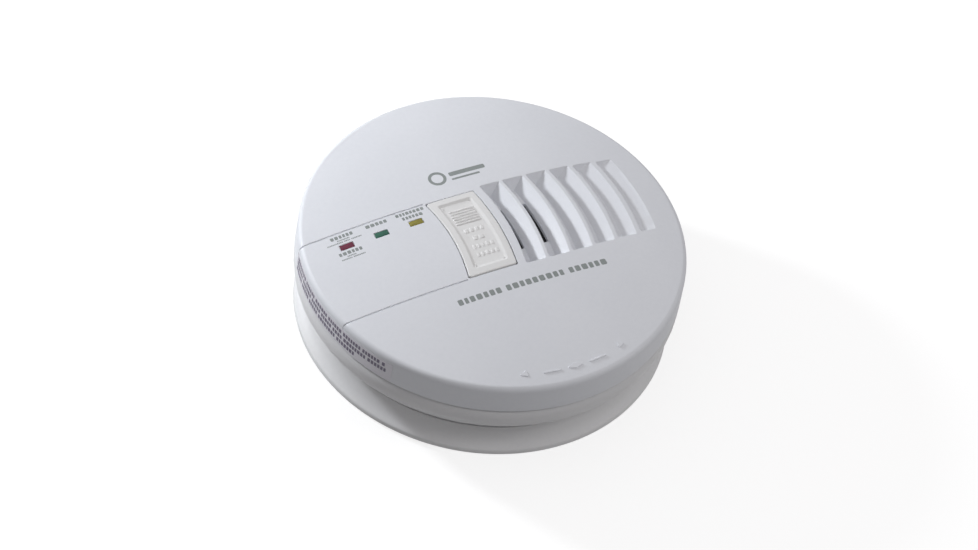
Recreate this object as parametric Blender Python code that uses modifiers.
"""Hardwired carbon monoxide detector with a 9 V backup battery.

The back of the mounting plate lies on z = 0, +Z points out into the room, the
indicator band runs along X and its axis is the centre of the round case.
All helper arguments are in millimetres; the scene is in metres.
"""

import math

import bmesh
import bpy
from mathutils import Matrix, Vector

MM = 0.001
SEG = 64                 # facets round the case
CUT_SEG = 32             # facets round small holes

# Case
CASE_R = 73.0            # widest radius, at the parting line
WALL_TOP_R = 72.75       # front cover wall has a little draft
CROWN_Z = 45.9           # top of the domed face
DOME_RISE = 6.35         # fall of the dome out to RIM_R
RIM_R = 72.7
SHOULDER_R = 2.3         # rounding between the wall and the face
COVER_Z = 27.2           # lower edge of the front cover
SEAM_Z = 26.6            # upper edge of the back cover
WALL = 2.2               # moulded wall thickness
POD_R = 57.2             # flat centre of the back cover
POD_Z = 6.0
POD_INNER_Z = 8.0
SKIRT_Z = 9.6

# Trim ring and mounting plate
RING_R = 71.5
RING_TOP_R = 66.2
RING_TOP_Z = 9.2
PLATE_OPEN_R = 40.0
HOOK_ANGLES = (30.0, 150.0, 270.0)

# Indicator band across the face
BAND_TOP_Y = 19.1
BAND_LOW_Y = -19.6
GROOVE_W = 0.8
GROOVE_D = 0.6
WINDOW_Y = 12.1
WINDOW_X = {"red": -54.6, "green": -40.8, "amber": -26.9}
WINDOW_W, WINDOW_H = 5.3, 2.3

# Sound and gas louvres: left and right edge of each on the centre line
LOUVRES = ((5.0, 12.9), (14.4, 22.8), (24.4, 32.5), (34.2, 42.2), (44.1, 51.8), (54.0, 60.4))
LOUVRE_SAG = 2.0         # how far each louvre bows towards +X
LOUVRE_FLOOR_Z = 40.8
SLIT_HALF_Y = 10.0
GRILLE_Z = 39.2          # underside of the thick block that holds the louvres

# Test button
BUTTON_TRAVEL = 1.0
STEM_X = -9.0
STEM_R = 2.5
WELL_Z = 37.5
WELL_FLOOR = 1.5

# Board and battery
BOARD_Z0, BOARD_Z1 = 30.0, 31.6
BOARD_R = 62.0
POCKET = ((-28.5, -20.2), (28.6, 7.2))
POCKET_TOP = 26.5
DOOR_AXIS_X, DOOR_AXIS_Z = 26.6, 7.6
SENSOR_X = 47.0
HORN_X, HORN_R = 17.6, 14.0
INLET_Y = 21.5


# ---------------------------------------------------------------- helpers

for old in list(bpy.data.objects):
    bpy.data.objects.remove(old, do_unlink=True)

parts = bpy.data.collections.new("carbon_monoxide_detector")
cutters = bpy.data.collections.new("cutters")
bpy.context.scene.collection.children.link(parts)
bpy.context.scene.collection.children.link(cutters)


def material(name, colour, roughness, metallic=0.0, alpha=1.0):
    made = bpy.data.materials.new(name)
    made.use_nodes = True
    shader = made.node_tree.nodes["Principled BSDF"]
    shader.inputs["Base Color"].default_value = (*colour, 1.0)
    shader.inputs["Roughness"].default_value = roughness
    shader.inputs["Metallic"].default_value = metallic
    shader.inputs["Alpha"].default_value = alpha
    return made


CASE = material("case_plastic", (0.78, 0.79, 0.81), 0.45)
BUTTON = material("button_plastic", (0.80, 0.79, 0.77), 0.42)
RING = material("ring_plastic", (0.79, 0.79, 0.80), 0.45)
PLATE = material("plate_plastic", (0.76, 0.76, 0.75), 0.5)
LABEL = material("label_film", (0.72, 0.71, 0.75), 0.35)
BOARD = material("board_laminate", (0.05, 0.25, 0.10), 0.45)
BLACK = material("black_plastic", (0.03, 0.03, 0.03), 0.5)
METAL = material("plated_metal", (0.72, 0.72, 0.70), 0.3, 1.0)
BRASS = material("brass_sheet", (0.75, 0.58, 0.28), 0.35, 1.0)
CAN = material("aluminium_can", (0.75, 0.76, 0.78), 0.3, 1.0)
FOAM = material("foam_rubber", (0.08, 0.08, 0.09), 0.9)
FELT = material("filter_felt", (0.80, 0.80, 0.76), 0.95)
BLUE = material("epoxy_blue", (0.08, 0.16, 0.45), 0.4)
YELLOW = material("film_yellow", (0.75, 0.60, 0.12), 0.4)
BATTERY = material("battery_jacket", (0.10, 0.10, 0.11), 0.35)
LENS = {
    "red": material("lens_red", (0.30, 0.03, 0.07), 0.2),
    "green": material("lens_green", (0.04, 0.20, 0.09), 0.2),
    "amber": material("lens_amber", (0.40, 0.38, 0.05), 0.2),
}


def link(obj, surface=None, smooth=True):
    """A part when it has a material, otherwise a cutter."""
    if surface is None:
        obj.hide_render = True
        obj.display_type = "WIRE"
        cutters.objects.link(obj)
    else:
        parts.objects.link(obj)
        obj.data.materials.append(surface)
        if smooth:
            obj.data.shade_smooth()
            obj.data.set_sharp_from_angle(angle=math.radians(30))
    return obj


def from_bmesh(name, bm, surface=None):
    bmesh.ops.recalc_face_normals(bm, faces=bm.faces)
    if bm.calc_volume(signed=True) < 0:
        bmesh.ops.reverse_faces(bm, faces=bm.faces)
    mesh = bpy.data.meshes.new(name)
    bm.to_mesh(mesh)
    bm.free()
    return link(bpy.data.objects.new(name, mesh), surface)


def box(name, low, high, surface=None, bevel=0.0):
    bm = bmesh.new()
    bmesh.ops.create_cube(bm, size=1.0)
    low, high = Vector(low) * MM, Vector(high) * MM
    for v in bm.verts:
        v.co = Vector([low[i] + (v.co[i] + 0.5) * (high[i] - low[i]) for i in range(3)])
    obj = from_bmesh(name, bm, surface)
    if bevel:
        rounding = obj.modifiers.new("rounding", "BEVEL")
        rounding.width = bevel * MM
        rounding.segments = 2
    return obj


def cylinder(name, centre, radius, z0, z1, surface=None, segments=CUT_SEG, top=None):
    """Upright cylinder, or a cone frustum when top is given."""
    bm = bmesh.new()
    bmesh.ops.create_cone(
        bm, cap_ends=True, segments=segments, radius1=radius * MM,
        radius2=(radius if top is None else top) * MM, depth=(z1 - z0) * MM,
    )
    for v in bm.verts:
        v.co += Vector((centre[0] * MM, centre[1] * MM, (z0 + z1) / 2 * MM))
    return from_bmesh(name, bm, surface)


def rod(name, start, axis, radius, length, surface=None, segments=20):
    """Cylinder along X or Y from its start point."""
    bm = bmesh.new()
    bmesh.ops.create_cone(
        bm, cap_ends=True, segments=segments, radius1=radius * MM, radius2=radius * MM,
        depth=length * MM,
    )
    for v in bm.verts:
        along = v.co.z + length * MM / 2
        if axis == "X":
            v.co = Vector((along, v.co.x, v.co.y))
        else:
            v.co = Vector((v.co.y, along, v.co.x))
        v.co += Vector(start) * MM
    return from_bmesh(name, bm, surface)


def lathe(name, profile, surface=None, segments=SEG, centre=(0.0, 0.0)):
    """Turned solid: the profile is (radius, z) down the outer side, ends on the axis or closed on itself."""
    mesh = bpy.data.meshes.new(name)
    on_axis = profile[0][0] == 0 and profile[-1][0] == 0
    count = len(profile)
    edges = [(i, i + 1) for i in range(count - 1)]
    if not on_axis:
        edges.append((count - 1, 0))
    mesh.from_pydata([(r * MM, 0.0, z * MM) for r, z in profile], edges, [])
    obj = bpy.data.objects.new(name, mesh)
    obj.location = (centre[0] * MM, centre[1] * MM, 0.0)
    turn = obj.modifiers.new("turn", "SCREW")
    turn.steps = turn.render_steps = segments
    turn.use_merge_vertices = True
    turn.merge_threshold = 0.00001
    turn.use_smooth_shade = True
    return link(obj, surface, smooth=False)


def plate(name, outline, z0, z1, surface=None):
    """Flat outline, as a filled 2D curve with a thickness, made a mesh."""
    curve = bpy.data.curves.new(name, "CURVE")
    curve.dimensions = "2D"
    curve.fill_mode = "BOTH"
    curve.extrude = (z1 - z0) / 2 * MM
    spline = curve.splines.new("POLY")
    spline.points.add(len(outline) - 1)
    for point, (x, y) in zip(spline.points, outline):
        point.co = (x * MM, y * MM, 0.0, 1.0)
    spline.use_cyclic_u = True
    guide = bpy.data.objects.new(name + "_outline", curve)
    bpy.context.scene.collection.objects.link(guide)
    mesh = bpy.data.meshes.new_from_object(
        guide.evaluated_get(bpy.context.evaluated_depsgraph_get())
    )
    bpy.data.objects.remove(guide, do_unlink=True)
    bm = bmesh.new()
    bm.from_mesh(mesh)
    bmesh.ops.remove_doubles(bm, verts=bm.verts, dist=0.000001)
    for v in bm.verts:
        v.co.z += (z0 + z1) / 2 * MM
    return from_bmesh(name, bm, surface)


def arc(radius, start, end, steps, centre=(0.0, 0.0)):
    return [
        (
            centre[0] + radius * math.cos(math.radians(start + (end - start) * i / steps)),
            centre[1] + radius * math.sin(math.radians(start + (end - start) * i / steps)),
        )
        for i in range(steps + 1)
    ]


def sector(name, inner, outer, start, end, z0, z1, surface=None, steps=4):
    outline = arc(outer, start, end, steps) + arc(inner, end, start, steps)
    return plate(name, outline, z0, z1, surface)


def boolean(obj, other, operation="DIFFERENCE", solver="EXACT"):
    cut = obj.modifiers.new(other.name, "BOOLEAN")
    cut.operation = operation
    cut.object = other
    cut.solver = solver
    return obj


def bake(obj):
    """Applies the modifiers, so that a long stack is worked out once."""
    graph = bpy.context.evaluated_depsgraph_get()
    mesh = bpy.data.meshes.new_from_object(obj.evaluated_get(graph))
    obj.modifiers.clear()
    obj.data = mesh
    return obj


def origin_at(obj, point):
    """Puts the origin of a moving piece on the axis of its joint."""
    point = Vector(point) * MM
    obj.data.transform(Matrix.Translation(-point))
    obj.location = point
    return obj


def dome_z(radius):
    return CROWN_Z - DOME_RISE * (radius / RIM_R) ** 2


def dome_at(x, y=0.0):
    return dome_z(math.hypot(x, y))


def bowed(x, y, sag=LOUVRE_SAG, half=20.0):
    """x of a vertical edge that bows towards +X at mid height."""
    return x - sag * (y / half) ** 2


def bowed_band(x_left, x_right, y_low, y_high, steps, sag_left, sag_right):
    """Outline between two bowed edges, anticlockwise."""
    ys = [y_low + (y_high - y_low) * i / steps for i in range(steps + 1)]
    right = [(bowed(x_right, y, sag_right), y) for y in ys]
    left = [(bowed(x_left, y, sag_left), y) for y in reversed(ys)]
    return right + left


# ------------------------------------------------------------ front cover

def cover_profile(raise_by=0.0):
    """Outer skin from the crown down to the lower edge."""
    centre_r = WALL_TOP_R - SHOULDER_R
    slope = math.atan(2 * DOME_RISE * centre_r / RIM_R**2)
    touch_r = centre_r + SHOULDER_R * math.sin(slope)
    centre_z = dome_z(touch_r) - SHOULDER_R * math.cos(slope)
    face = [(r, dome_z(r) + raise_by) for r in (0.0, 20.0, 38.0, 52.0, 63.0)]
    start = math.pi / 2 - slope
    shoulder = [
        (
            centre_r + SHOULDER_R * math.cos(start * (1 - i / 4)),
            centre_z + SHOULDER_R * math.sin(start * (1 - i / 4)) + raise_by,
        )
        for i in range(5)
    ]
    return face + shoulder


front_cover = lathe(
    "front_cover",
    cover_profile() + [(CASE_R, COVER_Z), (70.5, COVER_Z), (0.0, COVER_Z)],
    CASE,
)

hollow = lathe(
    "cover_hollow",
    [(r, dome_z(r) - WALL) for r in (0.0, 20.0, 38.0, 52.0, 64.0)]
    + [(69.0, dome_z(69.0) - WALL - 0.6), (70.4, 35.8), (70.6, 25.0), (0.0, 25.0)],
)

# The louvre block and the button well stay solid inside the hollow.
grille_block = box("grille_block", (3.2, -22.2, GRILLE_Z), (63.0, 22.2, 50.0))
button_outline = bowed_band(-18.1, 1.45, -19.45, 18.95, 8, 2.3, 1.8)
well_outline = bowed_band(-20.0, 3.3, -21.4, 20.9, 8, 2.3, 1.8)
button_well = plate("button_well", well_outline, WELL_Z, 50.0)
boolean(hollow, grille_block)
boolean(hollow, button_well)
boolean(front_cover, hollow)

button_hole = plate("button_hole", button_outline, WELL_Z + WELL_FLOOR, 50.0)
stem_hole = cylinder("stem_hole", (STEM_X, 0.0), STEM_R + 0.5, 30.0, 45.0)
boolean(front_cover, button_hole)
boolean(front_cover, stem_hole)

for colour, x in WINDOW_X.items():
    boolean(
        front_cover,
        box(
            "window_hole_" + colour,
            (x - WINDOW_W / 2 - 0.25, WINDOW_Y - WINDOW_H / 2 - 0.25, 36.0),
            (x + WINDOW_W / 2 + 0.25, WINDOW_Y + WINDOW_H / 2 + 0.25, 50.0),
        ),
    )


def groove(name, y, x_start, x_end):
    """Cutter that follows the dome at a constant depth."""
    steps = 8
    xs = [x_start + (x_end - x_start) * i / steps for i in range(steps + 1)]
    bm = bmesh.new()
    bottom = [Vector((x, y - GROOVE_W / 2, dome_at(x, y) - GROOVE_D)) for x in xs]
    top = [Vector((x, y - GROOVE_W / 2, 50.0)) for x in reversed(xs)]
    face = bm.faces.new([bm.verts.new(p * MM) for p in bottom + top])
    grown = bmesh.ops.extrude_face_region(bm, geom=[face])
    for item in grown["geom"]:
        if isinstance(item, bmesh.types.BMVert):
            item.co.y += GROOVE_W * MM
    return from_bmesh(name, bm)


boolean(front_cover, groove("groove_upper", BAND_TOP_Y + 0.1, -75.0, -20.3))
boolean(front_cover, groove("groove_lower", BAND_LOW_Y - 0.1, -75.0, -20.3))


def louvre(index, x0, x1):
    """One louvre pocket: a flat floor at the left and a blade that climbs to the face on the right."""
    top_y = 20.0 - 0.25 * max(0, index - 2)
    low_y = -20.0 + 0.62 * max(0, index - 2)
    steps = 8
    bm = bmesh.new()
    rings = []
    for i in range(steps + 1):
        y = low_y + (top_y - low_y) * i / steps
        left, right = bowed(x0, y), bowed(x1, y)
        floor = LOUVRE_FLOOR_Z
        surface = dome_at(right, y)
        foot = left + 2.7
        overshoot = (surface - floor) / (right - foot) * 3.0
        rings.append(
            [
                bm.verts.new(Vector(p) * MM)
                for p in (
                    (left, y, floor),
                    (foot, y, floor),
                    (right + 3.0, y, surface + overshoot),
                    (left, y, surface + overshoot + 1.0),
                )
            ]
        )
    for a, b in zip(rings, rings[1:]):
        for i in range(4):
            bm.faces.new((a[i], a[(i + 1) % 4], b[(i + 1) % 4], b[i]))
    bm.faces.new(rings[0])
    bm.faces.new(list(reversed(rings[-1])))
    return from_bmesh(f"louvre_pocket_{index + 1}", bm)


for index, (x0, x1) in enumerate(LOUVRES):
    pocket = louvre(index, x0, x1)
    # The pocket opens only inside its own band.
    outline = bowed_band(x0, x1, -21.0, 21.0, 8, LOUVRE_SAG, LOUVRE_SAG)
    band = plate(f"louvre_band_{index + 1}", outline, 36.0, 60.0)
    boolean(pocket, band, "INTERSECT")
    boolean(front_cover, pocket)
    if index < 2:
        slit = bowed_band(x0 + 0.05, x0 + 2.6, -SLIT_HALF_Y, SLIT_HALF_Y, 6, LOUVRE_SAG, LOUVRE_SAG)
        boolean(front_cover, plate(f"slit_{index + 1}", slit, 36.0, 45.0))

# Raised turn marks near the lower edge of the face: two bars, two arrows and a lozenge.
def mark(name, points, height=0.35):
    x = sum(p[0] for p in points) / len(points)
    y = sum(p[1] for p in points) / len(points)
    z = dome_at(x, y)
    return boolean(front_cover, plate(name, points, z - 1.2, z + height), "UNION")


mark("mark_bar_left", [(-12.2, -65.1), (-12.1, -65.9), (-5.2, -66.8), (-5.3, -66.0)])
mark("mark_bar_right", [(6.0, -66.9), (13.2, -66.3), (13.3, -65.5), (6.1, -66.1)])
mark("mark_lozenge", [(-3.2, -66.6), (0.0, -67.9), (3.2, -66.6), (0.0, -65.3)])
mark("mark_arrow_left", [(-21.6, -63.0), (-17.6, -65.6), (-16.9, -62.2)])
mark("mark_arrow_right", [(22.9, -62.4), (18.1, -61.9), (18.7, -65.2)])
# Shallow recess round the wall for the side label.
boolean(front_cover, sector("label_recess", 72.2, 75.0, 163.5, 215.0, 27.9, 36.9, steps=14))
bake(front_cover)

# ------------------------------------------------------------- back cover

back_cover = lathe(
    "back_cover",
    [
        (0.0, 29.2), (70.2, 29.2), (70.2, SEAM_Z), (CASE_R, SEAM_Z), (CASE_R, 22.0),
        (72.6, 19.5), (71.3, 16.8), (69.4, 14.4), (67.2, 12.5), (66.2, 12.0),
        (66.0, SKIRT_Z), (POD_R + 0.4, SKIRT_Z), (POD_R, POD_Z), (0.0, POD_Z),
    ],
    CASE,
)
bowl = lathe(
    "bowl_hollow",
    [
        (0.0, 31.0), (68.2, 31.0), (68.2, 25.6), (67.4, 20.5), (64.8, 14.6), (63.4, 12.2),
        (55.4, 12.2), (55.0, POD_INNER_Z), (0.0, POD_INNER_Z),
    ],
)
(px0, py0), (px1, py1) = POCKET
boolean(bowl, box("pocket_block", (px0 - 1.6, py0 - 1.6, 0.0), (px1 + 1.6, py1 + 1.6, POCKET_TOP + 1.5)))
boolean(bowl, box("inlet_block", (-12.9, INLET_Y - 6.6, 0.0), (12.9, INLET_Y + 6.6, 16.0)))
POSTS = ((-40.0, 42.0), (8.0, -50.0), (22.0, 50.0))
for n, (x, y) in enumerate(POSTS):
    boolean(bowl, cylinder(f"post_{n + 1}", (x, y), 3.4, 0.0, BOARD_Z0 - 0.3, segments=16))
boolean(back_cover, bowl)
boolean(back_cover, box("battery_pocket", (px0, py0, 0.0), (px1, py1, POCKET_TOP)))
boolean(back_cover, box("inlet_opening", (-11.3, INLET_Y - 5.0, 0.0), (11.3, INLET_Y + 5.0, 20.0)))
for n, (x, y) in enumerate(POSTS):
    boolean(back_cover, cylinder(f"pilot_{n + 1}", (x, y), 1.5, 20.0, 31.0, segments=12))
boolean(back_cover, rod("trunnion_socket", (DOOR_AXIS_X, py0 - 1.3, DOOR_AXIS_Z), "Y", 1.05, py1 - py0 + 2.6, segments=16))
boolean(back_cover, cylinder("finger_notch", (px0 - 0.5, (py0 + py1) / 2), 6.0, 5.0, 7.1, segments=20))
for n, angle in enumerate(HOOK_ANGLES):
    boolean(
        back_cover,
        sector(f"lug_{n + 1}", POD_R - 1.2, 60.3, angle - 6.0, angle + 6.0, 6.2, 7.6),
        "UNION",
    )
bake(back_cover)

# ------------------------------------------ mounting plate and trim ring

mounting_plate = lathe(
    "mounting_plate",
    [(PLATE_OPEN_R, 2.2), (55.5, 2.2), (56.3, 4.1), (62.4, 4.1), (62.4, 2.1), (57.6, 2.1), (57.4, 0.0), (PLATE_OPEN_R, 0.0)],
    PLATE,
)
for n, angle in enumerate((90.0, 270.0)):
    boolean(mounting_plate, sector(f"inner_tab_{n + 1}", 30.5, PLATE_OPEN_R + 1.5, angle - 13.0, angle + 13.0, 0.0, 2.0), "UNION")
for n, angle in enumerate(HOOK_ANGLES):
    boolean(mounting_plate, sector(f"hook_post_{n + 1}", 60.9, 62.0, angle - 8.5, angle + 7.0, 3.6, 8.8), "UNION")
    boolean(mounting_plate, sector(f"hook_tongue_{n + 1}", 58.3, 61.7, angle - 8.6, angle + 7.1, 8.0, 9.1), "UNION")
    boolean(mounting_plate, sector(f"hook_stop_{n + 1}", 58.5, 61.5, angle - 8.3, angle - 6.7, 3.5, 8.4), "UNION")


def round_slot(name, radius, angle, length, width):
    """Radial slot with round ends, cut through the plate."""
    c, s = math.cos(math.radians(angle)), math.sin(math.radians(angle))
    half = (length - width) / 2
    raw = [(half + x, y) for x, y in arc(width / 2, -90, 90, 6)] + [(-half + x, y) for x, y in arc(width / 2, 90, 270, 6)]
    points = [((radius + x) * c - y * s, (radius + x) * s + y * c) for x, y in raw]
    return plate(name, points, -1.0, 5.0)


for n, (radius, angle) in enumerate(((46.5, 0.0), (46.5, 180.0), (35.3, 90.0), (35.3, 270.0))):
    boolean(mounting_plate, round_slot(f"screw_slot_{n + 1}", radius, angle, 8.0, 4.6))
    head = cylinder(
        f"slot_head_{n + 1}",
        (
            (radius + 2.2) * math.cos(math.radians(angle)),
            (radius + 2.2) * math.sin(math.radians(angle)),
        ),
        4.3, -1.0, 5.0, segments=20,
    )
    if radius > 40:
        boolean(mounting_plate, head)
bake(mounting_plate)

trim_ring = lathe(
    "trim_ring",
    [
        (RING_TOP_R - 1.1, RING_TOP_Z), (RING_TOP_R, RING_TOP_Z), (66.6, 7.0), (67.5, 5.1),
        (69.0, 3.5), (70.6, 2.5), (71.35, 1.9), (RING_R, 1.0), (70.9, 0.0), (58.2, 0.0),
        (58.2, 1.7), (63.6, 1.7), (65.5, 2.8),
    ],
    RING,
)
bake(trim_ring)

# ------------------------------------------------------------ test button

test_button = plate("test_button", bowed_band(-17.75, 1.1, -19.1, 18.6, 8, 2.3, 1.8), 40.5, 50.0, BUTTON)
raised_dome = lathe(
    "button_crown",
    [(0.0, CROWN_Z + 0.25)] + [(r, dome_z(r) + 0.25) for r in (8.0, 16.0, 24.0, 32.0)] + [(32.0, 35.0), (0.0, 35.0)],
    segments=48,
)
boolean(test_button, raised_dome, "INTERSECT")
low_dome = lathe(
    "button_recess_floor",
    [(0.0, CROWN_Z - 0.45)] + [(r, dome_z(r) - 0.45) for r in (8.0, 16.0, 24.0, 32.0)] + [(32.0, 35.0), (0.0, 35.0)],
    segments=48,
)
recess = plate("button_recess", bowed_band(-14.9, -1.9, -15.8, 15.8, 8, 1.7, 1.4), 43.0, 50.0)
boolean(recess, low_dome)
boolean(test_button, recess)
boolean(test_button, plate("button_hollow", bowed_band(-16.1, -0.5, -17.4, 16.9, 8, 2.3, 1.8), 39.0, 43.2))
boolean(test_button, cylinder("button_stem", (STEM_X, 0.0), STEM_R, WELL_Z, 43.9, segments=20), "UNION")
for n in range(6):
    y = 5.3 + 1.28 * n
    z = dome_at(-9.0, y) - 0.45
    boolean(test_button, box(f"button_rib_{n + 1}", (-13.5, y - 0.38, z - 0.8), (-4.0, y + 0.38, z + 0.3)), "UNION")
bake(test_button)
origin_at(test_button, (STEM_X, 0.0, WELL_Z))

switch_plunger = cylinder("switch_plunger", (STEM_X, 0.0), 1.6, 34.9, WELL_Z - 0.3, BLACK, segments=16)
origin_at(switch_plunger, (STEM_X, 0.0, 34.9))

SPRING_Z0, SPRING_Z1, SPRING_R, WIRE = 39.65, 42.55, 4.0, 0.3
coil = bpy.data.curves.new("button_return_spring", "CURVE")
coil.dimensions = "3D"
coil.bevel_depth = WIRE * MM
coil.bevel_resolution = 1
coil.use_fill_caps = True
strand = coil.splines.new("POLY")
turns, per_turn = 3.0, 10
count = int(turns * per_turn) + 1
strand.points.add(count - 1)
for i, point in enumerate(strand.points):
    turn_angle = 2 * math.pi * i / per_turn
    z = SPRING_Z0 + (SPRING_Z1 - SPRING_Z0) * i / (count - 1)
    point.co = (
        (STEM_X + SPRING_R * math.cos(turn_angle)) * MM, SPRING_R * math.sin(turn_angle) * MM, z * MM, 1.0,
    )
spring = bpy.data.objects.new("button_return_spring", coil)
parts.objects.link(spring)
coil.materials.append(METAL)

# --------------------------------------------------- lights and windows

for colour, x in WINDOW_X.items():
    top = dome_at(x, WINDOW_Y) - 0.25
    pipe = box(
        "light_pipe_" + colour,
        (x - WINDOW_W / 2, WINDOW_Y - WINDOW_H / 2, 36.6),
        (x + WINDOW_W / 2, WINDOW_Y + WINDOW_H / 2, top),
        LENS[colour], bevel=0.15,
    )
    led = lathe(
        "led_" + colour,
        [(0.0, 36.2), (0.8, 36.0), (1.35, 35.4), (1.5, 34.6), (1.5, 32.9), (1.9, 32.9), (1.9, 31.9), (0.0, 31.9)],
        LENS[colour], segments=16, centre=(x, WINDOW_Y),
    )

# ---------------------------------------------------------- circuit board

circuit_board = cylinder("circuit_board", (0.0, 0.0), BOARD_R, BOARD_Z0, BOARD_Z1, BOARD, segments=SEG)
boolean(circuit_board, cylinder("sensor_clearance", (SENSOR_X, 0.0), 10.6, 25.0, 35.0))
for n, (x, y) in enumerate(POSTS):
    boolean(circuit_board, cylinder(f"board_hole_{n + 1}", (x, y), 1.6, 25.0, 35.0, segments=16))
bake(circuit_board)

for n, (x, y) in enumerate(POSTS):
    lathe(
        f"board_screw_{n + 1}",
        [(0.0, 33.6), (1.6, 33.5), (2.6, 32.9), (2.6, 31.9), (1.15, 31.9), (1.15, 24.0), (0.5, 22.6), (0.0, 22.4)],
        METAL, segments=16, centre=(x, y),
    )

horn_housing = lathe(
    "horn_housing",
    [(HORN_R - 1.4, 38.8), (HORN_R, 38.8), (HORN_R, 31.9), (6.0, 31.9), (6.0, 33.0), (HORN_R - 1.4, 33.0)],
    BLACK, segments=40, centre=(HORN_X, 0.0),
)
piezo_disc = cylinder("piezo_disc", (HORN_X, 0.0), 12.0, 33.4, 33.9, BRASS)

co_sensor_cell = lathe(
    "co_sensor_cell",
    [(0.0, 37.0), (9.6, 37.0), (10.0, 36.6), (10.0, 18.6), (9.5, 18.0), (0.0, 18.0)],
    CAN, segments=32, centre=(SENSOR_X, 0.0),
)
sensor_gasket = lathe(
    "sensor_gasket", [(8.5, 38.8), (10.0, 38.8), (10.0, 37.3), (8.5, 37.3)], FOAM, segments=32, centre=(SENSOR_X, 0.0),
)
sensor_filter = cylinder("sensor_filter_disc", (SENSOR_X, 0.0), 8.1, 37.3, 38.1, FELT)

switch_body = box("tact_switch_body", (STEM_X - 3.0, -3.0, 31.9), (STEM_X + 3.0, 3.0, 35.3), BLACK)
boolean(switch_body, cylinder("plunger_bore", (STEM_X, 0.0), 2.0, 33.6, 36.0, segments=16))
bake(switch_body)

box("microcontroller", (30.0, 21.0, 31.9), (40.0, 28.5, 34.2), BLACK, bevel=0.2)
box("film_capacitor", (-52.0, 14.0, 13.0), (-34.0, 24.0, 29.6), YELLOW, bevel=0.6)
cylinder("electrolytic_capacitor", (-45.0, -15.0), 5.0, 13.0, 29.6, CAN, segments=24)
rod("varistor", (38.0, 30.0, 22.5), "Y", 6.4, 3.8, BLUE, segments=24)
cylinder("step_up_coil", (38.0, -30.0), 5.0, 18.0, 29.6, BLACK, segments=24)

# --------------------------------------------------------------- AC inlet

header = box("ac_inlet_header", (-10.9, INLET_Y - 4.6, 13.0), (10.9, INLET_Y + 4.6, 29.6), BLACK)
PINS = {"line": -5.5, "neutral": 5.5, "interconnect": 0.0}
for name, x in PINS.items():
    boolean(header, box("pin_slot_" + name, (x - 1.3, INLET_Y - 1.3, 12.0), (x + 1.3, INLET_Y + 1.3, 17.0)))
    box("ac_pin_" + name, (x - 0.9, INLET_Y - 0.9, 10.6), (x + 0.9, INLET_Y + 0.9, 16.6), METAL, bevel=0.3)
bake(header)

# ---------------------------------------------------------------- battery

battery = box("battery_9v", (-21.2, -19.7, 8.7), (24.7, 6.7, 26.1), BATTERY, bevel=1.6)
rod("battery_stud_positive", (-23.2, -0.2, 17.4), "X", 2.9, 1.7, METAL, segments=20)
stud = rod("battery_stud_negative", (-23.2, -12.8, 17.4), "X", 4.1, 1.7, METAL, segments=20)
boolean(stud, rod("stud_socket", (-24.2, -12.8, 17.4), "X", 2.9, 2.2, segments=16))
bake(stud)
cup = rod("snap_contact_positive", (-26.9, -0.2, 17.4), "X", 4.4, 5.0, METAL, segments=20)
boolean(cup, rod("cup_socket", (-24.0, -0.2, 17.4), "X", 3.3, 4.0, segments=16))
bake(cup)
rod("snap_contact_negative", (-26.9, -12.8, 17.4), "X", 2.5, 4.5, METAL, segments=20)

# ----------------------------------------------------------- battery door

battery_door = box("battery_door", (px0 + 0.5, py0 + 0.5, 6.2), (DOOR_AXIS_X, py1 - 0.5, 8.0), CASE)
boolean(battery_door, rod("door_barrel", (DOOR_AXIS_X, py0 + 0.5, DOOR_AXIS_Z), "Y", 1.2, py1 - py0 - 1.0, segments=16), "UNION")
boolean(battery_door, rod("door_trunnion", (DOOR_AXIS_X, py0 - 0.9, DOOR_AXIS_Z), "Y", 0.75, py1 - py0 + 1.8, segments=16), "UNION")
bake(battery_door)
origin_at(battery_door, (DOOR_AXIS_X, (py0 + py1) / 2, DOOR_AXIS_Z))

# ----------------------------------------------------------------- labels

side_label = sector("side_label", 72.5, 72.72, 164.0, 214.5, 28.2, 36.6, LABEL, steps=14)
box("rating_label", (-19.0, 33.0, 5.45), (19.0, 49.0, 5.7), LABEL)
